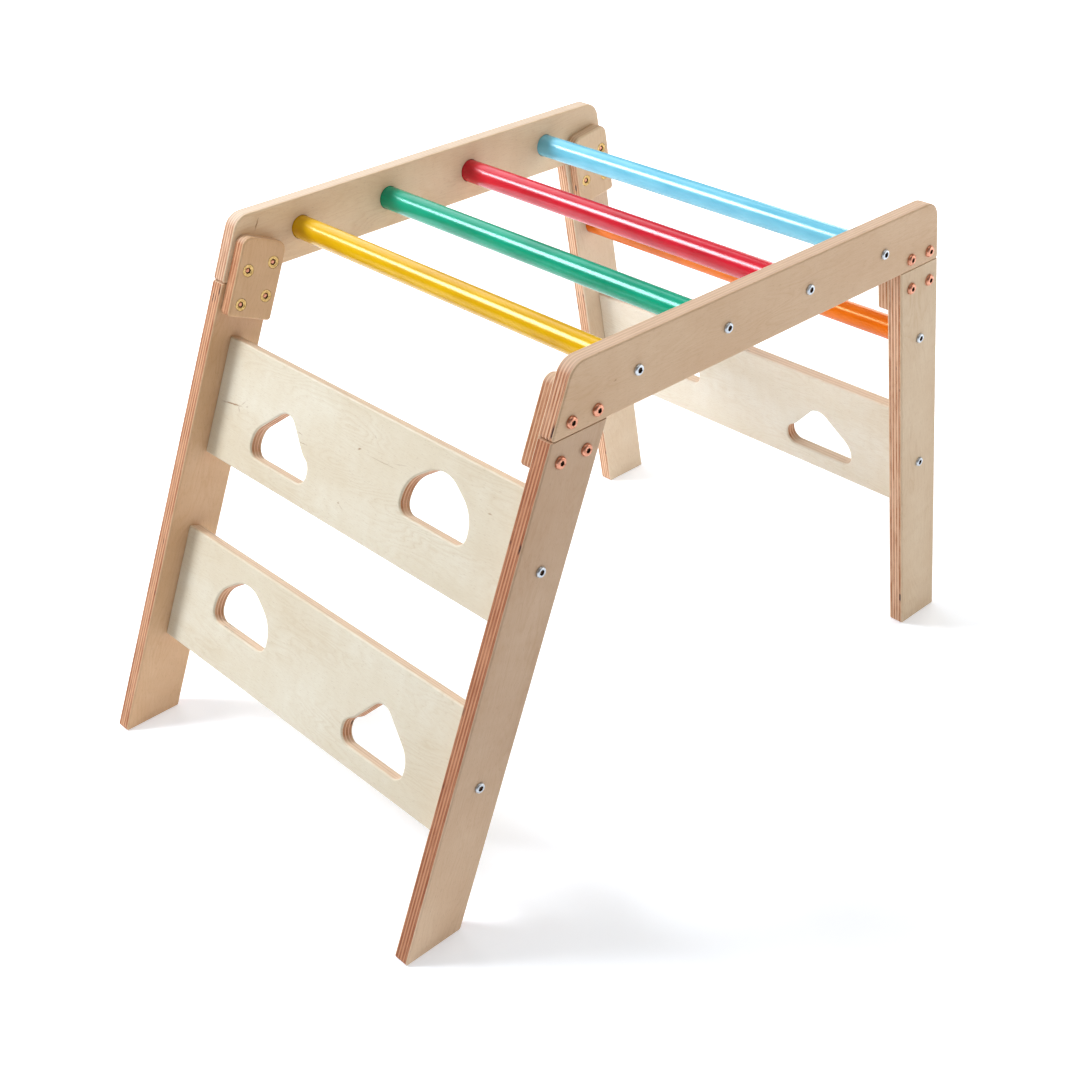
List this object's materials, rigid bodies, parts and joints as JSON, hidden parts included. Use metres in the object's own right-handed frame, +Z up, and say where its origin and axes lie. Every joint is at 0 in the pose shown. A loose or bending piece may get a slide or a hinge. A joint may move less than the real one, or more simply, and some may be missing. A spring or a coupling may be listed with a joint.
{
  "type": "indoor climbing frame",
  "caption": "Low birch plywood climbing frame for toddlers with painted round rungs on top and hand-hole panels between splayed legs.",
  "frame": {"origin": "on the floor, in the middle between the outer edges of the four feet", "axes": "+X across the frame along the rungs, towards the right side frame; +Y along the rails, from the front end with two panels to the rear end with one; +Z up"},
  "size_m": [0.5066, 0.8246, 0.532],
  "materials": {
    "birch_ply_side": "clear water-based lacquer on sanded birch plywood",
    "birch_ply_gusset": "clear water-based lacquer on sanded birch plywood",
    "birch_ply_panel": "clear water-based lacquer on sanded birch plywood",
    "yellow_painted_wood": "gloss toy-safe paint on a turned bar",
    "green_painted_wood": "gloss toy-safe paint on a turned bar",
    "red_painted_wood": "gloss toy-safe paint on a turned bar",
    "blue_painted_wood": "gloss toy-safe paint on a turned bar",
    "orange_painted_wood": "gloss toy-safe paint on a turned bar",
    "coppered_steel": "copper-toned bright plating",
    "brass_insert": "yellow-passivated bright metal",
    "zinc_plated_steel": "bright zinc plating",
    "steel_insert": "plain zinc plating, hidden inside the wood",
    "beech_dowel": "plain, hidden inside the wood"
  },
  "bodies": {
    "root": {"corner_bolts_front_left": "coppered_steel", "corner_bolts_front_right": "coppered_steel", "corner_bolts_rear_left": "coppered_steel", "corner_bolts_rear_right": "coppered_steel", "gusset_front_left": "birch_ply_gusset", "gusset_front_right": "birch_ply_gusset", "gusset_inserts_front_left": "brass_insert", "gusset_inserts_front_right": "brass_insert", "gusset_inserts_rear_left": "brass_insert", "gusset_inserts_rear_right": "brass_insert", "gusset_rear_left": "birch_ply_gusset", "gusset_rear_right": "birch_ply_gusset", "leg_front_left": "birch_ply_side", "leg_front_right": "birch_ply_side", "leg_rear_left": "birch_ply_side", "leg_rear_right": "birch_ply_side", "panel_bolts_front_left": "zinc_plated_steel", "panel_bolts_front_right": "zinc_plated_steel", "panel_bolts_rear_left": "zinc_plated_steel", "panel_bolts_rear_right": "zinc_plated_steel", "panel_dowels_front_left": "beech_dowel", "panel_dowels_front_right": "beech_dowel", "panel_dowels_rear_left": "beech_dowel", "panel_dowels_rear_right": "beech_dowel", "panel_front_lower": "birch_ply_panel", "panel_front_upper": "birch_ply_panel", "panel_inserts_front_left": "steel_insert", "panel_inserts_front_right": "steel_insert", "panel_inserts_rear_left": "steel_insert", "panel_inserts_rear_right": "steel_insert", "panel_rear": "birch_ply_panel", "rail_left": "birch_ply_side", "rail_right": "birch_ply_side", "rung_blue": "blue_painted_wood", "rung_bolts_left": "zinc_plated_steel", "rung_bolts_right": "zinc_plated_steel", "rung_green": "green_painted_wood", "rung_inserts_left": "steel_insert", "rung_inserts_right": "steel_insert", "rung_orange": "orange_painted_wood", "rung_red": "red_painted_wood", "rung_yellow": "yellow_painted_wood"}
  },
  "joints": []
}
